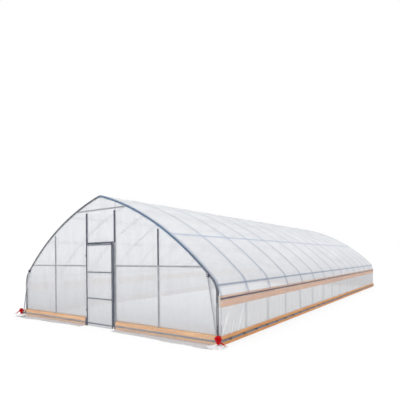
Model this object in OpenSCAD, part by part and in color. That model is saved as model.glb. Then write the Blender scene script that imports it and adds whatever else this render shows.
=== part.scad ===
// Polytunnel greenhouse: bent steel hoops under one sheet of film, boarded at the foot,
// with film end walls, a hinged door in the front end and side curtains that roll up.
// The front end faces -Y, the right-hand side faces +X and the ground is z = 0.

/* [Tunnel] */
// Distance across the tunnel between the centrelines of a hoop's legs
span = 6050; // [5200:10:6800]
// Number of bays between hoops
bays = 14; // [6:1:18]
// Distance between neighbouring hoops
bay = 1000; // [800:10:1300]
// Height of the hoop's centreline at the ridge
ridge_z = 2880; // [2700:10:3100]

/* [Hoops] */
// Diameter of the hoop tube
hoop_d = 42; // [34:1:48]
// Radius of the bend above each leg
shoulder_r = 350; // [280:10:420]
// Radius of the roof curve
roof_r = 6400; // [5800:50:7400]
// Turn of the bend above each leg, in degrees
shoulder_turn = 44; // [41:0.5:46]
// Half width of the saddle that joins two rafters at the ridge
saddle_half = 30; // [24:1:40]
// Depth of the saddle below the ridge centreline
saddle_drop = 32; // [30:1:40]

/* [Purlins] */
// Diameter of the purlin tubes
purlin_d = 27; // [20:1:32]
// Angle of the upper purlins on the roof curve, in degrees
upper_turn = 65; // [62:0.5:68]
// Angle of the middle purlins on the roof curve, in degrees
mid_turn = 55; // [51:0.5:57]
// Angle of the shoulder purlins on the bend, in degrees
low_turn = 20; // [14:1:30]

/* [Boards] */
// Thickness of the boards
board_t = 38; // [25:1:45]
// Height of the baseboards
base_h = 170; // [120:5:260]
// Height of the hip boards
hip_h = 200; // [140:5:230]
// Distance of the hip board's top below the place where the film reaches its face
hip_edge = 4; // [2:1:20]

/* [End walls] */
// Diameter of the end-wall posts
post_d = 42; // [32:1:48]
// Distance between the door posts
door_post_gap = 928; // [880:4:1100]
// Distance of the outer posts from the middle
outer_post_x = 1690; // [1500:10:1900]
// Height of the door posts
door_post_h = 2530; // [2300:10:2560]
// Height of the outer posts
outer_post_h = 2070; // [1900:10:2090]
// Diameter of the rods that tie the posts to the hoop
post_rod_d = 14; // [10:1:20]
// Diameter of the rails
rail_d = 27; // [20:1:34]
// Height of the rails
rail_z = 1350; // [1250:10:1450]
// Distance of the rail ends from the middle
rail_reach = 2690; // [2600:10:2720]
// Height of the tube over the door
header_z = 1862; // [1800:2:1950]
// Height of the collar tie
tie_z = 2585; // [2500:5:2700]
// Distance of the collar tie's ends from the middle
tie_reach = 855; // [700:5:900]

/* [Door] */
// Diameter of the door frame's tubes
door_tube_d = 28; // [22:1:32]
// Distance of the door frame's plane in front of the posts' plane
door_out = 50; // [46:1:60]
// Distance between a post's centreline and the nearer stile
stile_inset = 45; // [40:1:60]
// Height of the bottom rail
door_low_z = 75; // [60:5:120]
// Height of the lower middle rail
door_mid_z = 630; // [500:10:800]
// Height of the upper middle rail
door_high_z = 1210; // [1000:10:1400]
// Height of the top rail
door_top_z = 1808; // [1760:2:1812]
// Gap between the door's film and the ground
door_lift = 14; // [10:1:40]
// Diameter of the hinge pins
hinge_pin_d = 12; // [8:1:14]
// Outside diameter of the hinge knuckles
knuckle_d = 26; // [22:1:28]
// Height of a hinge knuckle
knuckle_h = 40; // [30:1:60]
// Heights of the two hinges
hinge_zs = [340, 1560];

/* [Film] */
// Thickness of the film as built
film_t = 3; // [2:0.5:4]
// Height of the film's grip line above the ground on the end boards
base_line_z = 85; // [50:1:130]
// Distance of the hip grip line below the top of the hip board
hip_line_drop = 50; // [40:5:80]
// Width of the grip channels
channel_w = 30; // [20:1:36]
// Depth of the grip channels
channel_t = 8; // [5:0.5:10]

/* [Side curtains] */
// Diameter of the pipe that rolls a curtain up
pipe_d = 34; // [26:1:40]
// Height of the rolled pipe
pipe_z = 85; // [60:1:150]
// Diameter of the winder's guide pole
pole_d = 22; // [18:1:27]
// Angle of the guide pole's top bracket on the roof curve, in degrees
pole_turn = 45; // [44:0.5:48]
// Distance of the guide pole's foot outside the leg
pole_foot_side = 36; // [10:1:50]
// Distance that the guide pole's foot stands further out in front than its top
pole_lean = 40; // [20:1:60]
// Height of the winder's gear housing above the pipe
winder_rise = 65; // [50:1:80]
// Diameter of the winder's gear housing
winder_d = 112; // [90:2:130]
// Depth of the winder's gear housing
winder_t = 60; // [40:2:80]
// Length of the winder's crank arm
crank_len = 190; // [80:2:220]
// Length of the winder's hand grip
grip_len = 60; // [40:2:120]

/* [Hidden] */

// Gap left between pieces that seat on each other
seat = 0.3;
// Gap between neighbouring strips of film
strip_gap = 1;
// Gap between the hinge pin and its knuckle, all round
pin_play = 0.5;
// Space kept between the end boards and the swing of the door
swing_room = 36;

hoop_r = hoop_d / 2;
post_r = post_d / 2;
rail_r = rail_d / 2;
purlin_r = purlin_d / 2;
pipe_r = pipe_d / 2;
pole_r = pole_d / 2;
stile_r = door_tube_d / 2;
length = bays * bay;
half_span = span / 2;

// Centres of the bend and of the roof curve on the right-hand side
bend_x = half_span - shoulder_r;
curve_x = bend_x + (shoulder_r - roof_r) * cos(shoulder_turn);
ridge_turn = acos(-curve_x / roof_r);
leg_h = ridge_z - roof_r * sin(ridge_turn) - (shoulder_r - roof_r) * sin(shoulder_turn);
curve_z = ridge_z - roof_r * sin(ridge_turn);
ridge_slope = 90 - ridge_turn;
rafter_end = acos((saddle_half + hoop_r * sin(ridge_slope) - curve_x) / roof_r);
rafter_step = (rafter_end - shoulder_turn) / 3;

// Layers on the outside of the legs, from the tube outwards
board_x = half_span + hoop_r + seat;
skin_x = board_x + board_t + seat;
curtain_x = skin_x + film_t + seat;
pipe_x = curtain_x + film_t + seat + pipe_r;

// Layers in front of the end hoops, as distances from the hoop's plane
film_out = hoop_r + seat;
channel_out = film_out + film_t + seat;
board_out = hoop_r + seat;
skirt_out = board_out + board_t + seat;
base_channel_out = skirt_out + film_t + seat;
pole_top_x = curve_x + roof_r * cos(pole_turn);
pole_top_z = curve_z + roof_r * sin(pole_turn);
pole_foot_x = board_x + pole_foot_side;
bracket_t = 18;
pole_top_out = channel_out + channel_t + seat + bracket_t + seat + pole_r;
pole_foot_out = pole_top_out + pole_lean;
clamp_h = 44;
winder_z = pipe_z + winder_rise;
clamp_low_z = winder_z - clamp_h / 2;
winder_out = pole_foot_out - pole_lean * clamp_low_z / pole_top_z + pole_r + seat;
hub_out = winder_out + winder_t;
hub_t = 22;
arm_t = 10;
front_reach = hub_out + hub_t + grip_len;
back_reach = base_channel_out + channel_t;

// The origin lies under the middle of the whole part
front_y = (front_reach - back_reach - length) / 2;
back_y = front_y + length;

// Door sizes
door_x = door_post_gap / 2;
stile_x = door_x - stile_inset;
door_y = front_y - door_out;
door_film_y = door_y - stile_r - seat;
board_inner_x = door_x + swing_room;

// Round parts are drawn finely enough to look smooth
$fn = 48;

// A tube bent round the Y axis, from one angle to another
module bent_tube(x, z, radius, from_turn, to_turn, r) {
    translate([x, 0, z])
        rotate([90, 0, 0])
            rotate([0, 0, from_turn])
                rotate_extrude(angle = to_turn - from_turn, $fn = 180)
                    translate([radius, 0])
                        circle(r);
}

// A flat band bent round the Y axis: rise is its thickness outwards, depth its width along Y
module bent_band(x, z, radius, from_turn, to_turn, rise, depth) {
    translate([x, 0, z])
        rotate([90, 0, 0])
            rotate([0, 0, from_turn])
                rotate_extrude(angle = to_turn - from_turn, $fn = 180)
                    translate([radius, 0])
                        square([rise, depth]);
}

// Both sides of something modelled on the right-hand side
module both_sides() {
    children();
    mirror([1, 0, 0])
        children();
}

// One copy at every hoop
module at_hoops() {
    for (i = [0 : bays])
        translate([0, front_y + i * bay, 0])
            children();
}

// A tube along Y between two places
module tube_y(x, z, y0, y1, r) {
    translate([x, y1, z])
        rotate([90, 0, 0])
            cylinder(h = y1 - y0, r = r);
}

// A tube along X between two places
module tube_x(y, z, x0, x1, r) {
    translate([x0, y, z])
        rotate([0, 90, 0])
            cylinder(h = x1 - x0, r = r);
}

// A straight tube between two points
module tube_between(a, b, r) {
    d = b - a;
    translate(a)
        rotate([0, acos(d[2] / norm(d)), atan2(d[1], d[0])])
            cylinder(h = norm(d), r = r);
}

// A box from one corner to the other
module box(a, b) {
    translate(a)
        cube(b - a);
}

// Points of the hoop's right-hand outline, off being the distance outside its centreline
function roof_point(turn, off) =
    [curve_x + (roof_r + off) * cos(turn), curve_z + (roof_r + off) * sin(turn)];
function bend_point(turn, off) =
    [bend_x + (shoulder_r + off) * cos(turn), leg_h + (shoulder_r + off) * sin(turn)];
function turn_at(x, off) = acos((x - curve_x) / (roof_r + off));
bend_steps = 10;
roof_steps = 20;
function outline_right(off, x0) = concat(
    [for (i = [0 : bend_steps]) bend_point(shoulder_turn * i / bend_steps, off)],
    [for (i = [1 : roof_steps])
        roof_point(shoulder_turn + (turn_at(x0, off) - shoulder_turn) * i / roof_steps, off)]
);

// A flat sheet under the hoop from x0 outwards, its foot at z0, its inner face at y
module end_sheet(x0, z0, y) {
    rim = outline_right(hoop_r, x0);
    translate([0, y, 0])
        rotate([90, 0, 0])
            linear_extrude(film_t)
                polygon(concat([[x0, z0], [half_span + hoop_r, z0]], rim));
}

// Frame

module hoop_legs() {
    color("silver")
        at_hoops()
            both_sides()
                translate([half_span, 0, 0])
                    cylinder(h = leg_h, r = hoop_r);
}

module hoop_shoulders() {
    color("silver")
        at_hoops()
            both_sides()
                bent_tube(bend_x, leg_h, shoulder_r, 0, shoulder_turn, hoop_r);
}

// One third of every rafter, counted from the shoulder
module rafter_part(i) {
    color("silver")
        at_hoops()
            both_sides()
                bent_tube(curve_x, curve_z, roof_r, shoulder_turn + i * rafter_step,
                          shoulder_turn + (i + 1) * rafter_step, hoop_r);
}

module lower_rafters() {
    rafter_part(0);
}

module middle_rafters() {
    rafter_part(1);
}

module upper_rafters() {
    rafter_part(2);
}

// Saddles that join the rafters at the ridge and carry the ridge purlin
saddle_top = hoop_r / cos(ridge_slope) - saddle_half * tan(ridge_slope);
module ridge_saddles() {
    color("gray")
        at_hoops()
            box([-saddle_half + seat, -hoop_r, ridge_z - saddle_drop],
                [saddle_half - seat, hoop_r, ridge_z + saddle_top - seat]);
}

module purlin(x, z) {
    tube_y(x, z, front_y - hoop_r, back_y + hoop_r, purlin_r);
}

module ridge_purlin() {
    color("silver")
        purlin(0, ridge_z - saddle_drop - seat - purlin_r);
}

module roof_purlins(turn) {
    place = roof_point(turn, -hoop_r - seat - purlin_r);
    color("silver")
        both_sides()
            purlin(place[0], place[1]);
}

module upper_purlins() {
    roof_purlins(upper_turn);
}

module mid_purlins() {
    roof_purlins(mid_turn);
}

module shoulder_purlins() {
    place = bend_point(low_turn, -hoop_r - seat - purlin_r);
    color("silver")
        both_sides()
            purlin(place[0], place[1]);
}

// Boards

module side_board(z0, z1) {
    color("sandybrown")
        box([board_x, front_y - hoop_r, z0], [board_x + board_t, back_y + hoop_r, z1]);
}

module right_baseboard() {
    side_board(0, base_h);
}

module left_baseboard() {
    mirror([1, 0, 0])
        side_board(0, base_h);
}

module right_hip_board() {
    side_board(hip_top - hip_h, hip_top);
}

module left_hip_board() {
    mirror([1, 0, 0])
        side_board(hip_top - hip_h, hip_top);
}

module front_baseboards() {
    color("burlywood")
        both_sides()
            box([board_inner_x, front_y - board_out - board_t, 0],
                [board_x + board_t, front_y - board_out, base_h]);
}

module back_baseboard() {
    color("burlywood")
        box([-board_x - board_t, back_y + board_out, 0],
            [board_x + board_t, back_y + board_out + board_t, base_h]);
}

// End walls

// A post with the thin rod at its top that ties it to the hoop
module end_post(x, y, h) {
    rod_top = roof_point(turn_at(x, -hoop_r), -hoop_r)[1] - post_rod_d;
    translate([x, y, 0]) {
        cylinder(h = h, r = post_r);
        cylinder(h = rod_top, d = post_rod_d);
    }
}

module door_posts() {
    color("slategray")
        both_sides()
            end_post(door_x, front_y, door_post_h);
}

module outer_posts() {
    color("silver")
        both_sides()
            end_post(outer_post_x, front_y, outer_post_h);
}

module back_posts() {
    color("silver")
        both_sides() {
            end_post(door_x, back_y, door_post_h);
            end_post(outer_post_x, back_y, outer_post_h);
        }
}

rail_in = max(post_r, hoop_r) + seat + rail_r;
module front_rails() {
    color("silver")
        both_sides()
            tube_x(front_y + rail_in, rail_z, door_x - post_r, rail_reach, rail_r);
}

module back_rail() {
    color("silver")
        tube_x(back_y - rail_in, rail_z, -rail_reach, rail_reach, rail_r);
}

module door_header() {
    color("dimgray")
        tube_x(front_y, header_z, -door_x + post_r + seat, door_x - post_r - seat, post_r);
}

module collar_ties() {
    color("silver")
        for (y = [front_y + rail_in, back_y - rail_in])
            tube_x(y, tie_z, -tie_reach, tie_reach, rail_r);
}

// Film over the roof and down to the hip boards

// Turn on the bend where the film leaves the hoop for the edge of the hip board
leave_turn = 19;
skin_r = shoulder_r + hoop_r + seat;
leave_at = bend_point(leave_turn, hoop_r + seat);
slope_run = skin_x - leave_at[0];
slope_foot = leave_at[1] - slope_run / tan(leave_turn);
hip_top = slope_foot - hip_edge;
roof_strips = 4;
top_turn = acos((strip_gap - curve_x) / (roof_r + hoop_r + seat));
roof_len = length + 2 * hoop_r;
strip_turn = (top_turn - shoulder_turn) / roof_strips;
// Angle that leaves the gap between strips on the roof and on the bend
roof_gap_turn = strip_gap / roof_r * 180 / PI;
bend_gap_turn = strip_gap / skin_r * 180 / PI;
hip_line_z = hip_top - hip_line_drop;

module roof_film_half() {
    color([0.9, 0.93, 0.96]) {
        translate([0, back_y + hoop_r, 0]) {
            for (i = [0 : roof_strips - 1])
                bent_band(curve_x, curve_z, roof_r + hoop_r + seat,
                          shoulder_turn + i * strip_turn,
                          shoulder_turn + (i + 1) * strip_turn - roof_gap_turn,
                          film_t, roof_len);
            bent_band(bend_x, leg_h, skin_r, leave_turn, shoulder_turn - bend_gap_turn,
                      film_t, roof_len);
        }
        roof_film_slope();
        box([skin_x, front_y - hoop_r, hip_line_z - channel_w / 2],
            [skin_x + film_t, back_y + hoop_r, slope_foot - strip_gap - film_t]);
    }
}

// The straight stretch of film between the bend and the hip board
module roof_film_slope() {
    across = [cos(leave_turn), sin(leave_turn)] * film_t;
    down = [sin(leave_turn), -cos(leave_turn)];
    run = slope_run / sin(leave_turn);
    a = leave_at + down * strip_gap;
    b = leave_at + down * run;
    translate([0, back_y + hoop_r, 0])
        rotate([90, 0, 0])
            linear_extrude(roof_len)
                polygon([a, b, b + across, a + across]);
}

module roof_film_right() {
    roof_film_half();
}

module roof_film_left() {
    mirror([1, 0, 0])
        roof_film_half();
}

// Film on the end walls

// Distance of the side film's inner edge from the middle of the door post
post_bare = 4;
film_inner_x = door_x + post_bare;
module front_film_half() {
    color([0.88, 0.9, 0.92])
        end_sheet(film_inner_x, base_h + strip_gap, front_y - film_out);
}

module front_film_right() {
    front_film_half();
}

module front_film_left() {
    mirror([1, 0, 0])
        front_film_half();
}

module front_film_top() {
    edge = film_inner_x - strip_gap;
    foot = header_z - post_r / 2;
    rim = [for (i = [0 : roof_steps])
        roof_point(turn_at(edge * (1 - i / roof_steps), hoop_r), hoop_r)];
    rim_left = [for (i = [0 : roof_steps - 1])
        [-rim[roof_steps - 1 - i][0], rim[roof_steps - 1 - i][1]]];
    color([0.9, 0.92, 0.94])
        translate([0, front_y - film_out, 0])
            rotate([90, 0, 0])
                linear_extrude(film_t)
                    polygon(concat([[-edge, foot], [edge, foot]], rim, rim_left));
}

module back_film() {
    rim = outline_right(hoop_r, 0);
    n = len(rim);
    rim_left = [for (i = [1 : n - 1]) [-rim[n - 1 - i][0], rim[n - 1 - i][1]]];
    side = half_span + hoop_r;
    foot = base_h + strip_gap;
    color([0.88, 0.9, 0.92])
        translate([0, back_y + film_out + film_t, 0])
            rotate([90, 0, 0])
                linear_extrude(film_t)
                    polygon(concat([[-side, foot], [side, foot]], rim, rim_left));
}

module front_skirts() {
    color([0.86, 0.87, 0.88])
        both_sides()
            box([board_inner_x, front_y - skirt_out - film_t, 0],
                [board_x + board_t, front_y - skirt_out, base_h]);
}

module back_skirt() {
    color([0.86, 0.87, 0.88])
        box([-board_x - board_t, back_y + skirt_out, 0],
            [board_x + board_t, back_y + skirt_out + film_t, base_h]);
}

// Side curtains

module side_curtain_half() {
    color([0.87, 0.89, 0.92])
        box([curtain_x, front_y - hoop_r, pipe_z - pipe_r],
            [curtain_x + film_t, back_y + hoop_r, hip_line_z + channel_w / 2]);
}

module side_curtain_right() {
    side_curtain_half();
}

module side_curtain_left() {
    mirror([1, 0, 0])
        side_curtain_half();
}

module roll_pipes() {
    color("dimgray")
        both_sides()
            tube_y(pipe_x, pipe_z, front_y - winder_out + seat, back_y + hoop_r, pipe_r);
}

// Grip channels that hold the film's edges

module hip_channels() {
    x = curtain_x + film_t + seat;
    color("dimgray")
        both_sides()
            box([x, front_y - hoop_r, hip_line_z - channel_w / 2],
                [x + channel_t, back_y + hoop_r, hip_line_z + channel_w / 2]);
}

module base_channel(x0, x1, y) {
    box([x0, y, base_line_z - channel_w / 2], [x1, y + channel_t, base_line_z + channel_w / 2]);
}

module base_channels() {
    end_x = board_x + board_t;
    color("dimgray") {
        both_sides()
            base_channel(board_inner_x, end_x, front_y - base_channel_out - channel_t);
        base_channel(-end_x, end_x, back_y + base_channel_out);
    }
}

// The channel round an end hoop, its near face at y
module arch_channel(y) {
    half_w = channel_w / 2;
    color("slategray")
        both_sides() {
            box([half_span - half_w, y, base_h + strip_gap],
                [half_span + half_w, y + channel_t, leg_h - strip_gap]);
            translate([0, y + channel_t, 0]) {
                bent_band(bend_x, leg_h, shoulder_r - half_w, 0, shoulder_turn - bend_gap_turn,
                          channel_w, channel_t);
                bent_band(curve_x, curve_z, roof_r - half_w, shoulder_turn, rafter_end,
                          channel_w, channel_t);
            }
        }
}

module front_arch_channel() {
    arch_channel(front_y - channel_out - channel_t);
}

module back_arch_channel() {
    arch_channel(back_y + channel_out);
}

// Winders

pole_top = [pole_top_x, front_y - pole_top_out, pole_top_z];
pole_foot = [pole_foot_x, front_y - pole_foot_out, 0];
pole_way = (pole_foot - pole_top) / norm(pole_foot - pole_top);

module guide_poles() {
    far = max(span, length);
    color("dimgray")
        both_sides()
            intersection() {
                tube_between(pole_top, pole_foot + pole_way * pole_d, pole_r);
                translate([-far, -far, 0])
                    cube([2 * far, 2 * far, pole_top_z + pole_d]);
            }
}

bracket_w = 46;
bracket_h = 64;
module pole_brackets() {
    y1 = front_y - channel_out - channel_t - seat;
    color([0.15, 0.15, 0.16])
        both_sides()
            box([pole_top_x - bracket_w / 2, y1 - bracket_t, pole_top_z - bracket_h],
                [pole_top_x + bracket_w / 2, y1, pole_top_z]);
}

// Where the guide pole passes the winder
pole_at_winder = pole_top + (pole_foot - pole_top) * (pole_top_z - winder_z) / pole_top_z;
pipe_hub_d = 56;
pipe_hub_t = 46;
housing_step = 3;
module winder_housings() {
    y1 = front_y - winder_out;
    color([0.75, 0.02, 0.08])
        both_sides() {
            tube_y(pipe_x, winder_z, y1 - winder_t, y1 - housing_step, winder_d / 2);
            tube_y(pipe_x, pipe_z, y1 - pipe_hub_t, y1, pipe_hub_d / 2);
            box([pole_at_winder[0] - pole_d, y1 - winder_t / 2, clamp_low_z],
                [pipe_x, y1, clamp_low_z + clamp_h]);
        }
}

crank_turn = -28;
arm_w = 26;
grip_d = 20;
grip_inset = 18;
arm_step = 4;
hub_rim = 4;
module winder_cranks() {
    y1 = front_y - hub_out - seat;
    arm_y = -hub_t + arm_step;
    color([0.75, 0.02, 0.08])
        both_sides()
            translate([pipe_x, y1, winder_z])
                rotate([0, -crank_turn, 0]) {
                    tube_y(0, 0, -hub_t, 0, arm_w / 2 + hub_rim);
                    box([0, arm_y, -arm_w / 2], [crank_len, arm_y + arm_t, arm_w / 2]);
                    tube_y(crank_len - grip_inset, 0, -hub_t - grip_len + seat, arm_y + arm_t / 2,
                           grip_d / 2);
                }
}

// Door, hung on two pins in front of the left-hand post

hinge_x = -door_x;
knuckle_seat = 0.5;
module hinge_pins() {
    back = front_y - max(post_r, film_out) - seat;
    step_z = 20;
    color("dimgray")
        for (z = hinge_zs)
            translate([hinge_x, 0, z]) {
                translate([0, door_y, -step_z])
                    cylinder(h = step_z + knuckle_h + knuckle_seat, d = hinge_pin_d);
                box([-strip_gap, door_y - hinge_pin_d / 2, -step_z], [hinge_pin_d, back, -knuckle_seat]);
            }
}

module door_knuckles() {
    color("dimgray")
        for (z = hinge_zs)
            translate([hinge_x, door_y, z])
                difference() {
                    union() {
                        cylinder(h = knuckle_h, d = knuckle_d);
                        box([0, -hinge_pin_d / 2, 0],
                            [stile_inset - stile_r - seat, hinge_pin_d / 2, knuckle_h]);
                    }
                    translate([0, 0, -1])
                        cylinder(h = knuckle_h + 2, d = hinge_pin_d + 2 * pin_play);
                }
}

module door_stiles() {
    color("gray")
        both_sides()
            translate([stile_x, door_y, door_low_z - stile_r])
                cylinder(h = door_top_z - door_low_z + door_tube_d, r = stile_r);
}

module door_rails() {
    end_x = stile_x - stile_r - seat;
    color("gray")
        for (z = [door_low_z, door_mid_z, door_high_z, door_top_z])
            tube_x(door_y, z, -end_x, end_x, stile_r);
}

module door_film() {
    edge = stile_x + stile_r;
    color([0.9, 0.91, 0.92])
        box([-edge, door_film_y - film_t, door_lift], [edge, door_film_y, door_top_z + stile_r]);
}

hoop_legs();
hoop_shoulders();
lower_rafters();
middle_rafters();
upper_rafters();
ridge_saddles();
ridge_purlin();
upper_purlins();
mid_purlins();
shoulder_purlins();
left_baseboard();
right_baseboard();
front_baseboards();
back_baseboard();
left_hip_board();
right_hip_board();
door_posts();
outer_posts();
back_posts();
front_rails();
back_rail();
door_header();
collar_ties();
roof_film_left();
roof_film_right();
front_film_left();
front_film_right();
front_film_top();
back_film();
front_skirts();
back_skirt();
side_curtain_left();
side_curtain_right();
hip_channels();
base_channels();
front_arch_channel();
back_arch_channel();
roll_pipes();
guide_poles();
pole_brackets();
winder_housings();
winder_cranks();
hinge_pins();
door_stiles();
door_rails();
door_film();
door_knuckles();
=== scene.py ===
import math

import bmesh
import bpy
from mathutils import Matrix, Vector


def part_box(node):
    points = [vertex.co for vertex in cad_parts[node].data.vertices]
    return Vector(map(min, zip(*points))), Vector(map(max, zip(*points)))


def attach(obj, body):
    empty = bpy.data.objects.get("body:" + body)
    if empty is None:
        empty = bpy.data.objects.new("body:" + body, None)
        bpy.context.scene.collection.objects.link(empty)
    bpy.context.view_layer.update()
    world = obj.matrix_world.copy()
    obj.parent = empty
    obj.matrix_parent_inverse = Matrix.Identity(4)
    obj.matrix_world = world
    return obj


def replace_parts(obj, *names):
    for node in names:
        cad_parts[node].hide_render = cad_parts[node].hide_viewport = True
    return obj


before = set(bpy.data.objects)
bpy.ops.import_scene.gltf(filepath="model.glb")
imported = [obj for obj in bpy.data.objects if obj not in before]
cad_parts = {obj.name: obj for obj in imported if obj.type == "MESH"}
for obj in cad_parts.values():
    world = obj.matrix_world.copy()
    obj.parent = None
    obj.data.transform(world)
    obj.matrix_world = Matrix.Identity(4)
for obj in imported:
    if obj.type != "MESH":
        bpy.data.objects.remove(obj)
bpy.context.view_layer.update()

bl_info = {
    "name": "Polytunnel greenhouse",
    "version": (1, 0, 0),
    "blender": (4, 5, 0),
    "location": "View3D > Sidebar > Tunnel",
    "description": "Film, channels, fittings and finishes of a long hoop greenhouse",
    "category": "Object",
}

# Directions across, up and out of the front
SIDE = Vector((1, 0, 0))
UP = Vector((0, 0, 1))
OUT_FRONT = Vector((0, -1, 0))

# Places along the tunnel, read from the frame
HOOP_R = 0.021
FIRST_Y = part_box("hoop_legs")[0].y
LAST_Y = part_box("hoop_legs")[1].y
FRONT_Y = FIRST_Y + HOOP_R
BACK_Y = LAST_Y - HOOP_R
BAYS = 14
BAY = (BACK_Y - FRONT_Y) / BAYS
HOOP_YS = [FRONT_Y + i * BAY for i in range(BAYS + 1)]
JOINT_YS = HOOP_YS[3::4]

# Shape of a hoop's right-hand side
HALF_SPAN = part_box("hoop_legs")[1].x - HOOP_R
LEG_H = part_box("hoop_legs")[1].z
BEND_R = 0.35
ROOF_R = 6.4
BEND_TURN = math.radians(44)
BEND_X = HALF_SPAN - BEND_R
CURVE_X = BEND_X - (ROOF_R - BEND_R) * math.cos(BEND_TURN)
CURVE_Z = LEG_H - (ROOF_R - BEND_R) * math.sin(BEND_TURN)

# Places round the hoop: film that leaves the bend, purlins, and the guide poles' brackets
LEAVE_TURN = math.radians(19)
PURLIN_R = 0.0135
PURLIN_TURNS = (math.radians(65), math.radians(55))
LOW_TURN = math.radians(20)
POLE_TURN = math.radians(45)

# Boards, curtains and pipes on the sides
BOARD_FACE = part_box("right_baseboard")[1].x
BASE_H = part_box("right_baseboard")[1].z
HIP_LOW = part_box("right_hip_board")[0].z
HIP_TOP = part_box("right_hip_board")[1].z
HIP_MID = (HIP_LOW + HIP_TOP) / 2
BOLT_Z = 0.035
SKIN_X = BOARD_FACE + 0.0003
CURTAIN_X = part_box("side_curtain_right")[0].x
CHANNEL_W = 0.03
CHANNEL_T = 0.008
ARCH_W = 0.037
HIP_W = 0.022
HIP_CHANNEL_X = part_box("hip_channels")[1].x - CHANNEL_T
HIP_LINE_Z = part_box("hip_channels")[0].z + CHANNEL_W / 2
BASE_LINE_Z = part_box("base_channels")[0].z + CHANNEL_W / 2
PIPE_R = 0.017
PIPE_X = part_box("roll_pipes")[1].x - PIPE_R
PIPE_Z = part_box("roll_pipes")[0].z + PIPE_R

# Layers outside an end hoop, as distances from its plane
FILM_OUT = 0.0213
CHANNEL_OUT = 0.0246
SKIRT_OUT = 0.0596
BASE_CHANNEL_OUT = 0.0629
STRIP_OUT = FILM_OUT + 0.0026

# Film: its thickness, and how far its middle stands off what it lies on
FILM_T = 0.0008
FILM_LIFT = 0.0016

# End walls; their film reaches RIM outside the hoop's centreline
DOOR_POST_X = 0.464
OUTER_POST_X = 1.69
FILM_INNER_X = 0.468
BOARD_INNER_X = 0.5
RAIL_Z = 1.35
RAIL_REACH = 2.69
RAIL_IN = 0.0348
HEADER_FOOT = 1.8515
DOOR_POST_TOP = 2.53
OUTER_POST_TOP = 2.07
TIE_Z = 2.585
TIE_REACH = 0.855
RIDGE_Z = 2.88
PANEL_FOOT = BASE_H + 0.001
RIM = HOOP_R - 0.0005
RIM_X = HALF_SPAN + RIM

# Grip strips on the end walls and the door, and the wires in strips and channels
STRIP_T = 0.005
THIN_STRIP_T = 0.004
RAIL_STRIP_W = 0.028
TIE_STRIP_W = 0.027
WIRE_PITCH = 0.034
WIRE_SWING = 0.009
WIRE_END = 0.02
CHANNEL_WIRE = 0.0062
STRIP_WIRE = 0.0042
THIN_WIRE = 0.6

# Door leaf
DOOR_Y = FRONT_Y - 0.05
DOOR_TUBE_R = 0.014
STILE_X = 0.419
DOOR_FILM_Y = DOOR_Y - DOOR_TUBE_R - 0.0003
DOOR_LIFT = 0.014
DOOR_STOP_X = 0.405
DOOR_RAIL_ZS = (0.075, 0.63, 1.21, 1.808)
DOOR_TOP = DOOR_RAIL_ZS[-1] + DOOR_TUBE_R

# Winders
WINDER_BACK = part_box("winder_housings")[1].y
WINDER_T = 0.06
WINDER_R = 0.056
WINDER_Z = PIPE_Z + 0.065
HUB_T = 0.022
CRANK_LEN = 0.19
CRANK_TURN = math.radians(28)
GRIP_LEN = 0.06
POLE_R = 0.011
POLE_TOP = Vector((CURVE_X + ROOF_R * math.cos(POLE_TURN), FRONT_Y - 0.0622,
                   CURVE_Z + ROOF_R * math.sin(POLE_TURN)))
POLE_FOOT = Vector((3.0823, FRONT_Y - 0.1022, 0))

# Camera and key light
CAMERA_AT = Vector((6.313, FRONT_Y - 5.153, 1.517))
CAMERA_YAW = math.radians(35.36)
CAMERA_ROLL = -0.0104
CAMERA_SHIFT = 0.1429
KEY_TURN = (math.radians(42), math.radians(8), math.radians(-20))
FLOOR_GLOW = 0.82


def srgb(red, green, blue):
    """A colour written as it looks, from 0 to 255, as the linear one that shaders use."""
    def one(c):
        c = c / 255
        return c / 12.92 if c <= 0.04045 else ((c + 0.055) / 1.055) ** 2.4
    return (one(red), one(green), one(blue))


def smooth(x):
    """From 0 to 1 with soft ends."""
    x = min(max(x, 0.0), 1.0)
    return x * x * (3 - 2 * x)


def roof_point(turn, off):
    """A place on the roof's curve, off outside the hoop's centreline."""
    return (CURVE_X + (ROOF_R + off) * math.cos(turn), CURVE_Z + (ROOF_R + off) * math.sin(turn))


def bend_point(turn, off):
    """A place on the shoulder's bend, off outside the hoop's centreline."""
    return (BEND_X + (BEND_R + off) * math.cos(turn), LEG_H + (BEND_R + off) * math.sin(turn))


def hoop_height(x, off):
    """Height of the hoop's outline at a distance from the middle, off outside its centreline."""
    x = abs(x)
    if x <= bend_point(BEND_TURN, off)[0]:
        return CURVE_Z + math.sqrt((ROOF_R + off) ** 2 - (x - CURVE_X) ** 2)
    return LEG_H + math.sqrt(max((BEND_R + off) ** 2 - (x - BEND_X) ** 2, 0))


def ridge_turn(off):
    """The turn at which the roof's curve meets the tunnel's middle."""
    return math.acos(-CURVE_X / (ROOF_R + off))


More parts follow.
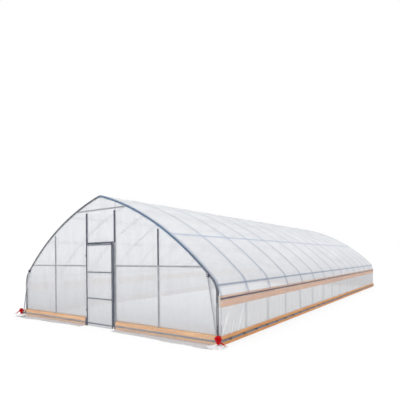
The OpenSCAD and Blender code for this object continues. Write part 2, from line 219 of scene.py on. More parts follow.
class TunnelLook(bpy.types.PropertyGroup):
    """Colours and small sizes of the tunnel's finish"""

    film_tint: bpy.props.FloatVectorProperty(
        name="Film", description="Colour of the greenhouse film", subtype="COLOR",
        default=srgb(246, 248, 251), min=0, max=1)
    # Painted shade: the end walls' film is darker near the ground.
    film_low: bpy.props.FloatVectorProperty(
        name="Film near the ground", description="Colour of the end walls' film near the ground",
        subtype="COLOR", default=srgb(203, 204, 208), min=0, max=1)
    roof_veil: bpy.props.FloatProperty(
        name="Roof veil", description="Share that one face of the roof film hides", subtype="FACTOR",
        default=0.6, min=0, max=1)
    curtain_veil: bpy.props.FloatProperty(
        name="Curtain veil", description="Share that one face of the side curtains hides",
        subtype="FACTOR", default=0.6, min=0, max=1)
    end_veil: bpy.props.FloatProperty(
        name="End veil", description="Share that one face of the end walls' film hides",
        subtype="FACTOR", default=0.44, min=0, max=1)
    steel: bpy.props.FloatVectorProperty(
        name="Galvanised tube", description="Colour of the galvanised tubes", subtype="COLOR",
        default=srgb(112, 122, 138), min=0, max=1)
    dark_steel: bpy.props.FloatVectorProperty(
        name="Dark tube", description="Colour of the dark tubes", subtype="COLOR",
        default=srgb(88, 92, 106), min=0, max=1)
    # The grip channels' blue-grey is a painted reflection of the sky.
    channel: bpy.props.FloatVectorProperty(
        name="Grip channel", description="Colour of the grip channels", subtype="COLOR",
        default=srgb(98, 122, 150), min=0, max=1)
    wire: bpy.props.FloatVectorProperty(
        name="Zig-zag wire", description="Colour of the wire in the channels", subtype="COLOR",
        default=srgb(190, 196, 204), min=0, max=1)
    timber: bpy.props.FloatVectorProperty(
        name="Boards", description="Colour of the softwood boards", subtype="COLOR",
        default=srgb(241, 177, 115), min=0, max=1)
    red: bpy.props.FloatVectorProperty(
        name="Winders", description="Colour of the moulded winders", subtype="COLOR",
        default=srgb(180, 0, 10), min=0, max=1)
    black: bpy.props.FloatVectorProperty(
        name="Brackets", description="Colour of the moulded brackets", subtype="COLOR",
        default=srgb(54, 58, 66), min=0, max=1)
    sag: bpy.props.FloatProperty(
        name="Film sag", description="Depth of the roof film between two hoops", unit="LENGTH",
        default=0.006, min=0, max=0.05)
    folds: bpy.props.FloatProperty(
        name="Curtain folds", description="Depth of the folds in the side curtains", unit="LENGTH",
        default=0.008, min=0, max=0.03)
    wire_d: bpy.props.FloatProperty(
        name="Wire", description="Thickness of the zig-zag wire", unit="LENGTH",
        default=0.003, min=0.001, max=0.005)


class TunnelStage(bpy.types.PropertyGroup):
    """Floor, light and camera"""

    floor: bpy.props.FloatVectorProperty(
        name="Floor", description="Colour of the floor", subtype="COLOR",
        default=(0.95, 0.95, 0.95), min=0, max=1)
    sky: bpy.props.FloatProperty(
        name="Sky", description="Strength of the light from all round", default=0.92, min=0, max=2)
    sun: bpy.props.FloatProperty(
        name="Key light", description="Strength of the soft key light", default=1.0, min=0, max=5)
    lens: bpy.props.FloatProperty(
        name="Lens", description="Focal length in millimetres", default=32.19, min=10, max=200)


def look():
    return bpy.context.scene.tunnel_look


# Materials

def start_material(name):
    """A material with its surface shader and the piece's own coordinates."""
    material = bpy.data.materials.new(name)
    material.use_nodes = True
    tree = material.node_tree
    shader = tree.nodes["Principled BSDF"]
    place = tree.nodes.new("ShaderNodeTexCoord")
    return material, tree, shader, place.outputs["Object"]


def fill(tree, socket, value):
    """Links an input to an output of another node, or sets its value."""
    if isinstance(value, bpy.types.NodeSocket):
        tree.links.new(value, socket)
    elif socket.type == "RGBA":
        socket.default_value = (*value, 1)
    else:
        socket.default_value = value


def add_node(tree, kind, output, **inputs):
    """One output of a new node whose inputs are given by name."""
    node = tree.nodes.new("ShaderNode" + kind)
    for name, value in inputs.items():
        fill(tree, node.inputs[name.replace("_", " ")], value)
    return node.outputs[output]


def axis(tree, place, name):
    return add_node(tree, "SeparateXYZ", name, Vector=place)


def mapped(tree, place, **setting):
    """Coordinates stretched by a Scale or turned by a Rotation."""
    return add_node(tree, "Mapping", "Vector", Vector=place, **setting)


def noise(tree, place, scale, detail=3.0, rough=0.55, warp=0.0):
    return add_node(tree, "TexNoise", "Fac", Vector=place, Scale=scale, Detail=detail, Roughness=rough,
                    Distortion=warp)


def cells(tree, place, scale):
    """Distance to the middle of the nearest of many scattered cells."""
    return add_node(tree, "TexVoronoi", "Distance", Vector=place, Scale=scale)


def ranged(tree, value, low, high, start=0.3, end=0.7):
    """A value between start and end brought between low and high."""
    return add_node(tree, "MapRange", "Result", Value=value, From_Min=start, From_Max=end, To_Min=low,
                    To_Max=high)


def math_node(tree, action, first, second=0.0):
    node = tree.nodes.new("ShaderNodeMath")
    node.operation = action
    fill(tree, node.inputs[0], first)
    fill(tree, node.inputs[1], second)
    return node.outputs["Value"]


def in_band(tree, value, low, high, edge):
    """1 between two values and 0 beyond them, with soft edges."""
    above = ranged(tree, value, 0.0, 1.0, low - edge, low + edge)
    below = ranged(tree, value, 1.0, 0.0, high - edge, high + edge)
    return math_node(tree, "MULTIPLY", above, below)


def mixed(tree, share, first, second, way="MIX"):
    node = tree.nodes.new("ShaderNodeMix")
    node.data_type = "RGBA"
    node.blend_type = way
    for i, value in ((0, share), (6, first), (7, second)):
        fill(tree, node.inputs[i], value)
    return node.outputs[2]


def shades(tree, value, *stops):
    """A colour for each part of a value's range; a stop is a place and a colour."""
    node = tree.nodes.new("ShaderNodeValToRGB")
    ramp = node.color_ramp
    while len(ramp.elements) < len(stops):
        ramp.elements.new(0.5)
    for element, (at, colour) in zip(ramp.elements, stops):
        element.position = at
        element.color = (*colour, 1)
    tree.links.new(value, node.inputs["Fac"])
    return node.outputs["Color"]


def darker(colour, share):
    return tuple(c * share for c in colour)


def tones(tree, value, colour, low, dark, high, light):
    """A colour that is darker by a share where a value is low, and lighter where it is high."""
    return shades(tree, value, (low, darker(colour, dark)), (0.5, colour), (high, darker(colour, light)))


def surface(tree, shader, tint, rough, height, strength, distance):
    """Gives the shader its colour, roughness and bump."""
    bump = add_node(tree, "Bump", "Normal", Height=height, Strength=strength, Distance=distance)
    for name, value in (("Base Color", tint), ("Roughness", rough), ("Normal", bump)):
        tree.links.new(value, shader.inputs[name])


def tube_finish(name, colour, metallic, low_colour=None):
    """Galvanised or painted tube: faint crystals and dull patches. The shaded colour, when given, is
    painted
    shade: the duller colour near the ground and on the left-hand half."""
    material, tree, shader, place = start_material(name)
    patch = noise(tree, place, 9, 5)
    base = tones(tree, patch, colour, 0.3, 0.8, 0.72, 1.16)
    speck = ranged(tree, cells(tree, place, 70), 0.86, 1.1, 0.0, 0.8)
    tint = mixed(tree, 0.5, base, speck, "MULTIPLY")
    # Painted shade: the tint turns to the duller shaded colour near the ground and on the left-hand half.
    if low_colour:
        for along, start, end in (("Z", 0.9, 1.8), ("X", -0.15, 0.1)):
            share = ranged(tree, axis(tree, place, along), 0.0, 1.0, start, end)
            tint = mixed(tree, share, low_colour, tint)
    shader.inputs["Metallic"].default_value = metallic
    surface(tree, shader, tint, ranged(tree, patch, 0.34, 0.58), noise(tree, place, 160, 2), 0.12, 0.002)
    return material


def moulded_finish(name, colour):
    """Moulded plastic with a fine grain and dusty patches."""
    material, tree, shader, place = start_material(name)
    patch = noise(tree, place, 14, 5)
    tint = tones(tree, patch, colour, 0.28, 0.72, 0.75, 1.12)
    shader.inputs["Specular IOR Level"].default_value = 0.12
    surface(tree, shader, tint, ranged(tree, patch, 0.28, 0.5), noise(tree, place, 420, 2), 0.18, 0.001)
    return material


def timber_finish(name, colour, along, joint_at, spacing):
    """Sawn softwood with grain along one axis, knots, and the butt joints between lengths of board."""
    material, tree, shader, place = start_material(name)

    def lengthwise(slow, across, up):
        scale = (slow, across, up) if along == "X" else (across, slow, up)
        return mapped(tree, place, Scale=scale)

    grain = noise(tree, lengthwise(0.9, 26, 40), 2.4, 6, 0.65, 0.6)
    rings = noise(tree, lengthwise(0.35, 5, 9), 3.0, 3, 0.5, 1.2)
    tint = tones(tree, grain, colour, 0.28, 0.84, 0.72, 1.1)
    ring_tint = shades(tree, rings, (0.35, srgb(230, 211, 188)), (0.6, (1, 1, 1)))
    tint = mixed(tree, 0.8, tint, ring_tint, "MULTIPLY")
    knot = ranged(tree, cells(tree, lengthwise(1.7, 3, 6), 1.0), 0.75, 0.0, 0.03, 0.13)
    tint = mixed(tree, knot, tint, darker(colour, 0.34))
    run = math_node(tree, "ADD", axis(tree, place, along), 100 * spacing - joint_at)
    joint = math_node(tree, "LESS_THAN", math_node(tree, "MODULO", run, spacing), 0.006)
    tint = mixed(tree, joint, tint, darker(colour, 0.16))
    if along == "Y":
        end_grain = math_node(tree, "LESS_THAN", axis(tree, place, "Y"), FIRST_Y + 0.0006)
        tint = mixed(tree, end_grain, tint, srgb(196, 190, 186))
    surface(tree, shader, tint, ranged(tree, grain, 0.62, 0.82), grain, 0.35, 0.003)
    return material


def film_finish(name, tint, veil, streak, crease, low_tint=None, low_veil=None, rise=(0.15, 1.7),
                hoop_tint=None, damp_bands=(), clear_bands=(), pulled=False):
    """Translucent film: hides part of what lies behind it, with dust, streaks and soft creases. The low
    tint and low veil hold near the ground and change over the heights in rise; the low tint is painted
    shade. The hoop tint is painted shade of the hoops behind the film, laid along them and darker lower
    down, and the shade bands give painted shade of the purlins in their colour between two heights. The
    film is clearer
    where it lies on a board: clear_bands gives the share of its veil that is left between two heights. A
    pulled film has slanting creases near the front, with painted highlights along them."""
    material, tree, shader, place = start_material(name)
    streaks = mapped(tree, place, Scale=streak)
    dust = noise(tree, streaks, 2.2, 4, 0.6, 0.4)
    film = shades(tree, dust, (0.3, darker(tint, 0.96)), (0.7, tint))
    height = axis(tree, place, "Z")
    along = axis(tree, place, "Y")
    hides = ranged(tree, dust, veil * 0.94, veil * 1.06)
    # Painted shade: the film turns to the darker low tint near the ground, over the heights in rise.
    if low_tint:
        film = mixed(tree, ranged(tree, height, 0.0, 1.0, *rise), low_tint, film)
    if low_veil:
        hides = math_node(tree, "MULTIPLY", hides, ranged(tree, height, low_veil / veil, 1.0, *rise))
    # Painted shade of the hoops behind the film: a bluish tint along each hoop, darker lower down.
    if hoop_tint:
        run = math_node(tree, "ADD", along, BAY * 40.5 - FRONT_Y)
        gap = math_node(tree, "SUBTRACT", math_node(tree, "MODULO", run, BAY), BAY / 2)
        damp = ranged(tree, math_node(tree, "ABSOLUTE", gap), 1.0, 0.0, 0.015, 0.07)
        hoop = mixed(tree, ranged(tree, height, 0.0, 1.0, 1.0, 1.9), darker(hoop_tint, 0.8), hoop_tint)
        film = mixed(tree, damp, film, hoop)
    # Painted shade of the purlins behind the film, in bands between two heights.
    for low, high, damp in damp_bands:
        film = mixed(tree, in_band(tree, height, low, high, 0.012), film, damp)
    # Painted highlights: pale slanting streaks along the creases near the front, where the film is also a
    # little less clear.
    if pulled:
        slanted = mapped(tree, place, Rotation=(math.radians(24), 0, 0))
        lines = noise(tree, mapped(tree, slanted, Scale=(1, 7, 0.5)), 2.4, 2)
        near = ranged(tree, along, 1.0, 0.0, FRONT_Y + 0.2, FRONT_Y + 1.3)
        pale = math_node(tree, "MULTIPLY", near, ranged(tree, lines, 0.0, 1.0, 0.56, 0.64))
        film = mixed(tree, pale, film, srgb(244, 245, 247))
        hides = math_node(tree, "ADD", hides, math_node(tree, "MULTIPLY", pale, 0.2))
    for low, high, share in clear_bands:
        taken = math_node(tree, "MULTIPLY", in_band(tree, height, low, high, 0.004), 1 - share)
        hides = math_node(tree, "MULTIPLY", hides, math_node(tree, "SUBTRACT", 1.0, taken))
    tree.links.new(hides, shader.inputs["Alpha"])
    shader.inputs["Specular IOR Level"].default_value = 0.35
    surface(tree, shader, film, ranged(tree, dust, 0.3, 0.46), noise(tree, streaks, 7, 3), crease, 0.01)
    return material


def finish(name, maker, *values, **settings):
    """The named material, made at its first use."""
    return bpy.data.materials.get(name) or maker(name, *values, **settings)


def galvanised():
    return finish("galvanised_tube", tube_finish, tuple(look().steel), 0.55)


def dark_tube():
    return finish("dark_tube", tube_finish, tuple(look().dark_steel), 0.35)


# The channel's blue-grey is a painted sky reflection; near the ground and on the left-hand half it gives
# way to painted shade in grey.
def channel_metal():
    return finish("channel_metal", tube_finish, tuple(look().channel), 0.35,
                  low_colour=srgb(108, 108, 113))


def pale_strip():
    return finish("pale_strip", tube_finish, srgb(160, 162, 168), 0.2)


def grey_strip():
    return finish("grey_strip", tube_finish, srgb(124, 127, 136), 0.2)


def wire_metal():
    return finish("wire_metal", tube_finish, tuple(look().wire), 0.7)


def red_plastic():
    return finish("red_plastic", moulded_finish, tuple(look().red))


def black_plastic():
    return finish("black_plastic", moulded_finish, tuple(look().black))


def white_plastic():
    return finish("white_plastic", moulded_finish, srgb(224, 222, 220))


def side_timber():
    return finish("side_timber", timber_finish, tuple(look().timber), "Y", JOINT_YS[0],
                  JOINT_YS[1] - JOINT_YS[0])


def end_timber():
    return finish("end_timber", timber_finish, srgb(250, 195, 130), "X", OUTER_POST_X, 2 * OUTER_POST_X)


# The roof film carries painted shade of the hoops and, in two bands, of the purlins behind it.
def roof_film():
    # Painted shade: the roof film turns darker towards the shoulders.
    return finish("roof_film", film_finish, tuple(look().film_tint), look().roof_veil, (1, 0.4, 1), 0.08,
                  low_tint=srgb(233, 235, 239), rise=(0.9, 1.9), hoop_tint=srgb(210, 218, 233),
                  damp_bands=((1.018, 1.05, srgb(162, 174, 194)), (1.947, 1.981, srgb(200, 212, 232))),
                  clear_bands=((-1, HIP_TOP, 0.4),))


def end_film():
    # Painted shade: the end walls' film turns darker near the ground.
    return finish("end_film", film_finish, tuple(look().film_tint), look().end_veil, (1.6, 1, 0.5), 0.06,
                  low_tint=tuple(look().film_low), low_veil=0.76)


def curtain_film():
    # The curtain gets painted highlights along its slanting creases near the front.
    return finish("curtain_film", film_finish, srgb(224, 225, 228), look().curtain_veil, (1, 3.5, 0.3),
                  0.35, pulled=True, clear_bands=((-1, BASE_H, 0.04), (HIP_LOW, HIP_TOP, 0.4)))


def skirt_film():
    return finish("skirt_film", film_finish, srgb(210, 211, 215), 0.56, (3, 2, 2), 0.5,
                  clear_bands=((0.04, 1, 0.26), (0.012, 0.04, 0.5)))


def gather_film():
    return finish("gather_film", film_finish, srgb(246, 247, 249), 0.84, (3, 2, 2), 0.4)


# Building pieces

def add_piece(name, bm, material, body="tunnel"):
    """A finished piece from its mesh, riding on a body of the frame."""
    mesh = bpy.data.meshes.new(name)
    bm.to_mesh(mesh)
    bm.free()
    if not mesh.polygons:
        raise RuntimeError(name + " came out empty")
    mesh.materials.append(material)
    mesh.shade_smooth()
    mesh.set_sharp_from_angle(angle=math.radians(35))
    piece = bpy.data.objects.new(name, mesh)
    bpy.context.scene.collection.objects.link(piece)
    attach(piece, body)
    return piece


def dress(material, *nodes):
    """Gives nodes of the frame a finished material."""
    for name in nodes:
        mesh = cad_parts[name].data
        mesh.materials.clear()
        mesh.materials.append(material)


def film_sheet(name, across, along, place, material, body="tunnel"):
    """A sheet of film: a grid laid out by a function of two shares from 0 to 1."""
    bm = bmesh.new()
    bmesh.ops.create_grid(bm, x_segments=across, y_segments=along, size=0.5)
    for vert in bm.verts:
        vert.co = place(vert.co.x + 0.5, vert.co.y + 0.5)
    bmesh.ops.recalc_face_normals(bm, faces=bm.faces)
    piece = add_piece(name, bm, material, body)
    wall = piece.modifiers.new("Film thickness", "SOLIDIFY")
    wall.thickness = FILM_T
    wall.offset = 0
    return piece


def between(stations, share):
    """The place at a share from 0 to 1 along a list of stations."""
    run = share * (len(stations) - 1)
    i = min(int(run + 1e-6), len(stations) - 2)
    return stations[i] + (stations[i + 1] - stations[i]) * (run - i)


def spread(first, last, count):
    """Evenly spaced places after the first, up to the last."""
    return [first + (last - first) * (i + 1) / count for i in range(count)]


def turned_to(way):
    """The turn that brings what stands upright to a direction."""
    return UP.rotation_difference(Vector(way).normalized()).to_matrix().to_4x4()


def add_rod(bm, start, end, radius, end_radius=None, sides=10):
    """A round bar, or a cone, between two points."""
    start, end = Vector(start), Vector(end)
    way = end - start
    at = Matrix.Translation((start + end) / 2) @ turned_to(way)
    bmesh.ops.create_cone(
        bm, cap_ends=True, segments=sides, radius1=radius,
        radius2=radius if end_radius is None else end_radius, depth=way.length, matrix=at)


def add_box(bm, low, high, bevel=0.0, turn=None):
    """A box between two corners, with bevelled edges, turned about its middle."""
    low, high = Vector(low), Vector(high)
    size = high - low
    at = Matrix.Translation((low + high) / 2)
    if turn is not None:
        at = at @ turn
    made = bmesh.ops.create_cube(bm, size=1, matrix=at @ Matrix.Diagonal((*size, 1)))
    if bevel:
        edges = {e for v in made["verts"] for e in v.link_edges}
        bmesh.ops.bevel(bm, geom=list(edges), offset=bevel, segments=2, profile=0.5,
                        affect="EDGES", material=-1)


def add_bolt(bm, at, way, radius, height):
    """A washer with a domed head on it."""
    at, way = Vector(at), Vector(way).normalized()
    washer = at + way * height * 0.25
    add_rod(bm, at, washer, radius * 1.35, sides=8)
    add_rod(bm, washer, at + way * height, radius, radius * 0.55, 8)


def close_and_turn_out(bm):
    """Fills open ends and turns every face outwards."""
    bmesh.ops.remove_doubles(bm, verts=bm.verts, dist=1e-6)
    open_edges = [e for e in bm.edges if e.is_boundary]
    if open_edges:
        bmesh.ops.holes_fill(bm, edges=open_edges, sides=0)
    bmesh.ops.recalc_face_normals(bm, faces=bm.faces)


def cut_open(bm, at, way):
    """Cuts away what lies beyond a plane and closes the cut."""
    bmesh.ops.bisect_plane(bm, geom=bm.verts[:] + bm.edges[:] + bm.faces[:], plane_co=at, plane_no=way,
                           clear_outer=True)
    close_and_turn_out(bm)


def mirror_over(bm):
    """Repeats everything on the other side of the tunnel's middle."""
    geom = bm.verts[:] + bm.edges[:] + bm.faces[:]
    copied = bmesh.ops.duplicate(bm, geom=geom)
    verts = [g for g in copied["geom"] if isinstance(g, bmesh.types.BMVert)]
    bmesh.ops.scale(bm, vec=(-1, 1, 1), verts=verts)
    bmesh.ops.recalc_face_normals(bm, faces=bm.faces)


# Half of a grip channel's section, as shares of its width and depth
LIP = 0.28
WALL = 0.06
FLOOR = 0.2


def channel_section(bm, at, across, out, width, depth=CHANNEL_T):
    """The section of a grip channel, a C with lips, at a place."""
    half = width / 2
    inner = half * (1 - 2 * WALL)
    lip = half * (1 - 2 * LIP)
    floor, roof = depth * FLOOR, depth * (1 - FLOOR)
    right = [(half, 0), (half, depth), (lip, depth), (lip, roof), (inner, roof), (inner, floor)]
    left = [(-u, w) for u, w in reversed(right)]
    verts = [bm.verts.new(at + across * u + out * w) for u, w in right + left]
    return bm.faces.new(verts)


def add_channel(bm, start, end, across, out, width, depth=CHANNEL_T):
    """A straight length of grip channel."""
    start, end, across, out = Vector(start), Vector(end), Vector(across), Vector(out)
    face = channel_section(bm, start, across, out, width, depth)
    grown = bmesh.ops.extrude_face_region(bm, geom=[face])
    moved = [g for g in grown["geom"] if isinstance(g, bmesh.types.BMVert)]
    bmesh.ops.translate(bm, verts=moved, vec=end - start)


def add_bent_channel(bm, centre, radius, start, end, y, out, steps, width):
    """A length of grip channel bent round an end hoop, on the right-hand side."""
    across = Vector((math.cos(start), 0, math.sin(start)))
    middle = Vector((centre[0], y, centre[1]))
    face = channel_section(bm, middle + across * radius, across, Vector(out), width)
    bmesh.ops.spin(bm, geom=[face], cent=middle, axis=(0, -1, 0), angle=end - start, steps=steps)


def zigzag(points, sides, half_width, lift):
    """Points of a wire that swings from side to side along a path."""
    wire = []
    for i, (point, side) in enumerate(zip(points, sides)):
        swing = 1 if i % 4 < 2 else -1
        wire.append(Vector(point) + Vector(side) * half_width * swing + Vector(lift))
    return wire


def wire_piece(name, runs, share=1.0, body="tunnel"):
    """One mesh for several lengths of wire, of a share of the usual thickness."""
    curve = bpy.data.curves.new(name, "CURVE")
    curve.dimensions = "3D"
    curve.bevel_depth = look().wire_d / 2 * share
    curve.bevel_resolution = 0
    curve.use_fill_caps = True
    for run in runs:
        spline = curve.splines.new("POLY")
        spline.points.add(len(run) - 1)
        for point, co in zip(spline.points, run):
            point.co = (*co, 1)
    source = bpy.data.objects.new(name + "_path", curve)
    bpy.context.scene.collection.objects.link(source)
    shaped = source.evaluated_get(bpy.context.evaluated_depsgraph_get())
    bm = bmesh.new()
    bm.from_mesh(shaped.to_mesh())
    bpy.data.objects.remove(source)
    bpy.data.curves.remove(curve)
    close_and_turn_out(bm)
    add_piece(name, bm, wire_metal(), body)


def wired_channel(bm, runs, start, end, across, out, width, depth=CHANNEL_T, lift=CHANNEL_WIRE,
                  swing=WIRE_SWING):
    """A straight length of grip channel, and the run of its wire, which stops short of both ends."""
    start, end = Vector(start), Vector(end)
    add_channel(bm, start, end, across, out, width, depth)
    short = (end - start).normalized() * WIRE_END
    start, end = start + short, end - short
    count = max(int((end - start).length / WIRE_PITCH), 2)
    points = [start.lerp(end, i / count) for i in range(count + 1)]
    runs.append(zigzag(points, [across] * len(points), swing, out * lift))


def rail_strips(bm, y, out, gap):
    """Grip strips along the rails between the outer posts and beyond them, and along the collar tie."""
    for way in (-1, 1):
        for a, b in ((DOOR_POST_X + gap, OUTER_POST_X - gap), (OUTER_POST_X + gap, RAIL_REACH)):
            add_channel(bm, (way * a, y, RAIL_Z), (way * b, y, RAIL_Z), UP, out, RAIL_STRIP_W, THIN_STRIP_T)
    add_channel(bm, (-TIE_REACH, y, TIE_Z), (TIE_REACH, y, TIE_Z), UP, out, TIE_STRIP_W, THIN_STRIP_T)


def arch_wire(y, out, mirror):
    """The wire round one side of an end hoop, from the leg to the ridge."""
    path = []
    low = BASE_H + 0.03
    for z in spread(low, LEG_H, int((LEG_H - low) / WIRE_PITCH)):
        path.append((HALF_SPAN, z, 1.0, 0.0))
    for turn in spread(0, BEND_TURN, int(BEND_TURN * BEND_R / WIRE_PITCH)):
        path.append((*bend_point(turn, 0), math.cos(turn), math.sin(turn)))
    top = ridge_turn(0) - 0.012
    for turn in spread(BEND_TURN, top, int((top - BEND_TURN) * ROOF_R / WIRE_PITCH)):
        path.append((*roof_point(turn, 0), math.cos(turn), math.sin(turn)))
    points = [(mirror * x, y, z) for x, z, _, _ in path]
    sides = [(mirror * a, 0, b) for _, _, a, b in path]
    return zigzag(points, sides, WIRE_SWING, out)


class TUNNEL_OT_frame_finish(bpy.types.Operator):
    """Give the hoops, purlins, posts and rails their galvanised and painted finishes"""
    bl_idname = "tunnel.frame_finish"
    bl_label = "Frame finish"

    def execute(self, context):
        dress(galvanised(), "hoop_legs", "hoop_shoulders", "lower_rafters", "middle_rafters",
              "upper_rafters", "ridge_saddles", "ridge_purlin", "upper_purlins", "mid_purlins",
              "shoulder_purlins", "outer_posts", "back_posts", "front_rails", "back_rail",
              "collar_ties", "door_stiles", "door_rails", "roll_pipes")
        dress(pale_strip(), "guide_poles")
        dress(dark_tube(), "door_posts", "door_header", "hinge_pins", "door_knuckles", "pole_brackets")
        return {"FINISHED"}


class TUNNEL_OT_boards(bpy.types.Operator):
    """Finish the timber boards and add their bolts, nuts and splice plates"""
    bl_idname = "tunnel.boards"
    bl_label = "Boards"

    def execute(self, context):
        dress(side_timber(), "left_baseboard", "right_baseboard", "left_hip_board", "right_hip_board")
        dress(end_timber(), "front_baseboards", "back_baseboard")
        self.bolts()
        self.splices()
        return {"FINISHED"}

    def bolts(self):
        """Bolts through the boards and the hoops' legs, with their nuts inside."""
        bm = bmesh.new()
        leg = HALF_SPAN - HOOP_R
        nut = leg - 0.0095
        tail = leg - 0.018
        for y in HOOP_YS:
            add_bolt(bm, (BOARD_FACE, y, BOLT_Z), SIDE, 0.0095, 0.006)
            for z in (BOLT_Z, HIP_MID):
                add_rod(bm, (leg + 0.003, y, z), (nut, y, z), 0.0085, sides=6)
                add_rod(bm, (nut, y, z), (tail, y, z), 0.005, sides=8)
        mirror_over(bm)
        add_piece("board_bolts", bm, wire_metal())

    def splices(self):
        """Straps round the hoops' legs where two lengths of board meet."""
        bm = bmesh.new()
        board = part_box("right_baseboard")[0].x
        leg = HALF_SPAN - HOOP_R - 0.0005
        plate = 0.004
        half = 0.026

        def strap(x0, x1, y0, y1, z):
            near, far = sorted((y0, y1))
            add_box(bm, (x0, near, z - 0.025), (x1, far, z + 0.025), 0.001)

        for y in JOINT_YS:
            for z in (0.11, HIP_MID + 0.045):
                strap(leg - plate, leg, y - half, y + half, z)
                for way in (-1, 1):
                    strap(leg - 0.003, board, y + way * (half - plate), y + way * half, z)
                    strap(board - plate, board, y + way * 0.024, y + way * 0.13, z)
                    for dy in (0.055, 0.1):
                        add_bolt(bm, (board - plate, y + way * dy, z), -SIDE, 0.007, 0.006)
        mirror_over(bm)
        add_piece("board_splices", bm, galvanised())


class TUNNEL_OT_roof_film(bpy.types.Operator):
    """Stretch one sheet of film over the hoops and down to the hip boards"""
    bl_idname = "tunnel.roof_film"
    bl_label = "Roof film"

    def execute(self, context):
        lift = 0.0014
        clamp = 0.03
        off = HOOP_R + lift
        top = ridge_turn(off)
        leave_x, leave_z = bend_point(LEAVE_TURN, off)
        foot_x = SKIN_X + lift
        foot_z = leave_z - (foot_x - leave_x) / math.tan(LEAVE_TURN)
        roof_end = (ROOF_R + off) * (top - BEND_TURN)
        bend_end = roof_end + (BEND_R + off) * (BEND_TURN - LEAVE_TURN)
        slope_end = bend_end + (foot_x - leave_x) / math.sin(LEAVE_TURN)
        reach = slope_end + foot_z - (HIP_LINE_Z - CHANNEL_W / 2)
        half = [0.0, *spread(0, roof_end, 22), *spread(roof_end, bend_end, 5),
                *spread(bend_end, slope_end, 4), *spread(slope_end, reach, 2)]
        runs = [-s for s in reversed(half[1:])] + half
        ys = [FIRST_Y, FRONT_Y]
        for y in HOOP_YS[:-1]:
            ys += [y + clamp, *spread(y + clamp, y + BAY - clamp, 8), y + BAY]
        ys.append(LAST_Y)

        def place(u, v):
            s = between(runs, u)
            y = between(ys, v)
            side = -1 if s < 0 else 1
            s = abs(s)
            share = ((y - FRONT_Y) / BAY) % 1.0
            dip = smooth((min(share, 1 - share) * BAY - 0.025) / 0.3)
            deep = look().sag * dip * smooth((reach - s) / 0.6)
            if s <= roof_end:
                x, z = roof_point(top - s / (ROOF_R + off), off - deep)
            elif s <= bend_end:
                x, z = bend_point(BEND_TURN - (s - roof_end) / (BEND_R + off), off - deep)
            elif s <= slope_end:
                d = s - bend_end
                x = leave_x + d * math.sin(LEAVE_TURN) - deep * math.cos(LEAVE_TURN)
                z = leave_z - d * math.cos(LEAVE_TURN) - deep * math.sin(LEAVE_TURN)
            else:
                x, z = foot_x, foot_z - (s - slope_end)
            return Vector((side * x, y, z))

        sheet = film_sheet("roof_film", len(runs) - 1, len(ys) - 1, place, roof_film())
        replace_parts(sheet, "roof_film_left", "roof_film_right")
        return {"FINISHED"}


def end_panel(name, x0, x1, foot, y, out, node):
    """One sheet of an end wall, from one distance to another, up to the hoop."""
    def across(u):
        if x0 > 0:
            return x0 + (x1 - x0) * math.sin(u * math.pi / 2)
        if x1 < 0:
            return x1 + (x0 - x1) * math.sin((1 - u) * math.pi / 2)
        return x1 * math.sin((u - 0.5) * math.pi)

    def place(u, v):
        x = across(u)
        top = hoop_height(min(abs(x), RIM_X), RIM)
        z = foot + (top - foot) * v
        edge = min((top - z) / 0.25, (z - foot) / 0.2, 1.0)
        loose = smooth(edge) * smooth(abs(abs(x) - OUTER_POST_X) / 0.3)
        loose *= smooth(abs(abs(x) - DOOR_POST_X) / 0.2)
        loose *= smooth((abs(z - RAIL_Z) - 0.02) / 0.15) * smooth((abs(z - TIE_Z) - 0.02) / 0.1)
        wave = 0.5 + 0.5 * math.sin(5.1 * x + 2.3 * z + 1.3 * math.sin(2.7 * z + x))
        fine = 0.5 + 0.5 * math.sin(23 * x - 9 * z + 2 * math.sin(3 * x))
        puff = loose * (0.004 * wave + 0.0014 * fine)
        return Vector((x, y + out * (FILM_LIFT + puff), z))

    width = x1 - x0
    steps = 60 if width < 3 else 110
    count = 400
    middles = [x0 + width * (i + 0.5) / count for i in range(count)]
    area = sum(hoop_height(x, RIM) - foot for x in middles) / count * width
    sheet = film_sheet(name, steps, 44, place, end_film())
    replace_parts(sheet, node)


